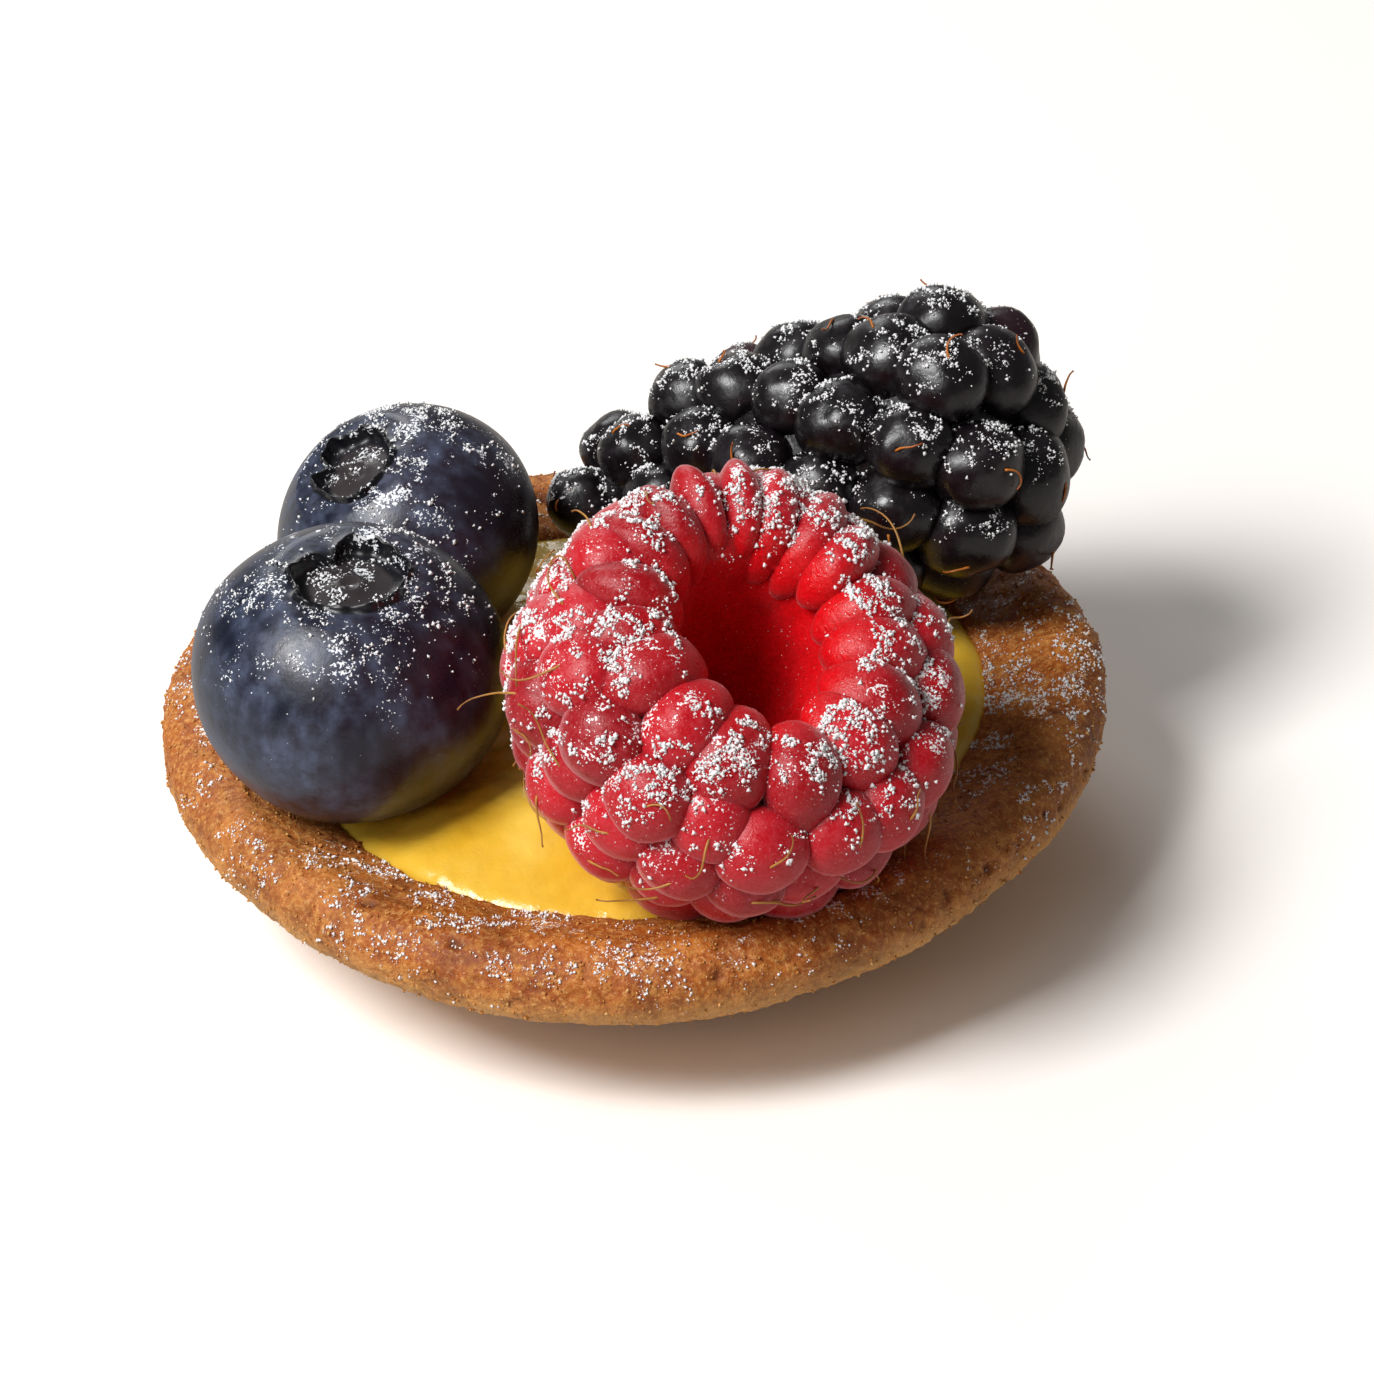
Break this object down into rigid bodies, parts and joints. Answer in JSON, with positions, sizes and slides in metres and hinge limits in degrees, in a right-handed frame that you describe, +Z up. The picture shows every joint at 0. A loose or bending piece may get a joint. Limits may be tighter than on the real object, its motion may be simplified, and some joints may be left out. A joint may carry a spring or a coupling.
{
  "type": "berry tart",
  "caption": "Small shortcrust tart filled with yellow custard, topped with blueberries, a raspberry and a bramble under powdered sugar.",
  "frame": {"origin": "middle of the flat base, on the ground", "axes": "+Z up out of the filling, -Y towards the side with the raspberry, +X towards the bramble's stem end"},
  "size_m": [0.0468, 0.0458, 0.028],
  "materials": {
    "baked_shortcrust": "matt",
    "custard": "gloss",
    "blueberry_skin": "satin",
    "raspberry_flesh": "satin",
    "bramble_flesh": "gloss"
  },
  "bodies": {
    "root": {"pastry_case": "baked_shortcrust", "custard": "custard", "blueberry_front": "blueberry_skin", "blueberry_back": "blueberry_skin", "raspberry": "raspberry_flesh", "bramble": "bramble_flesh"}
  },
  "joints": []
}
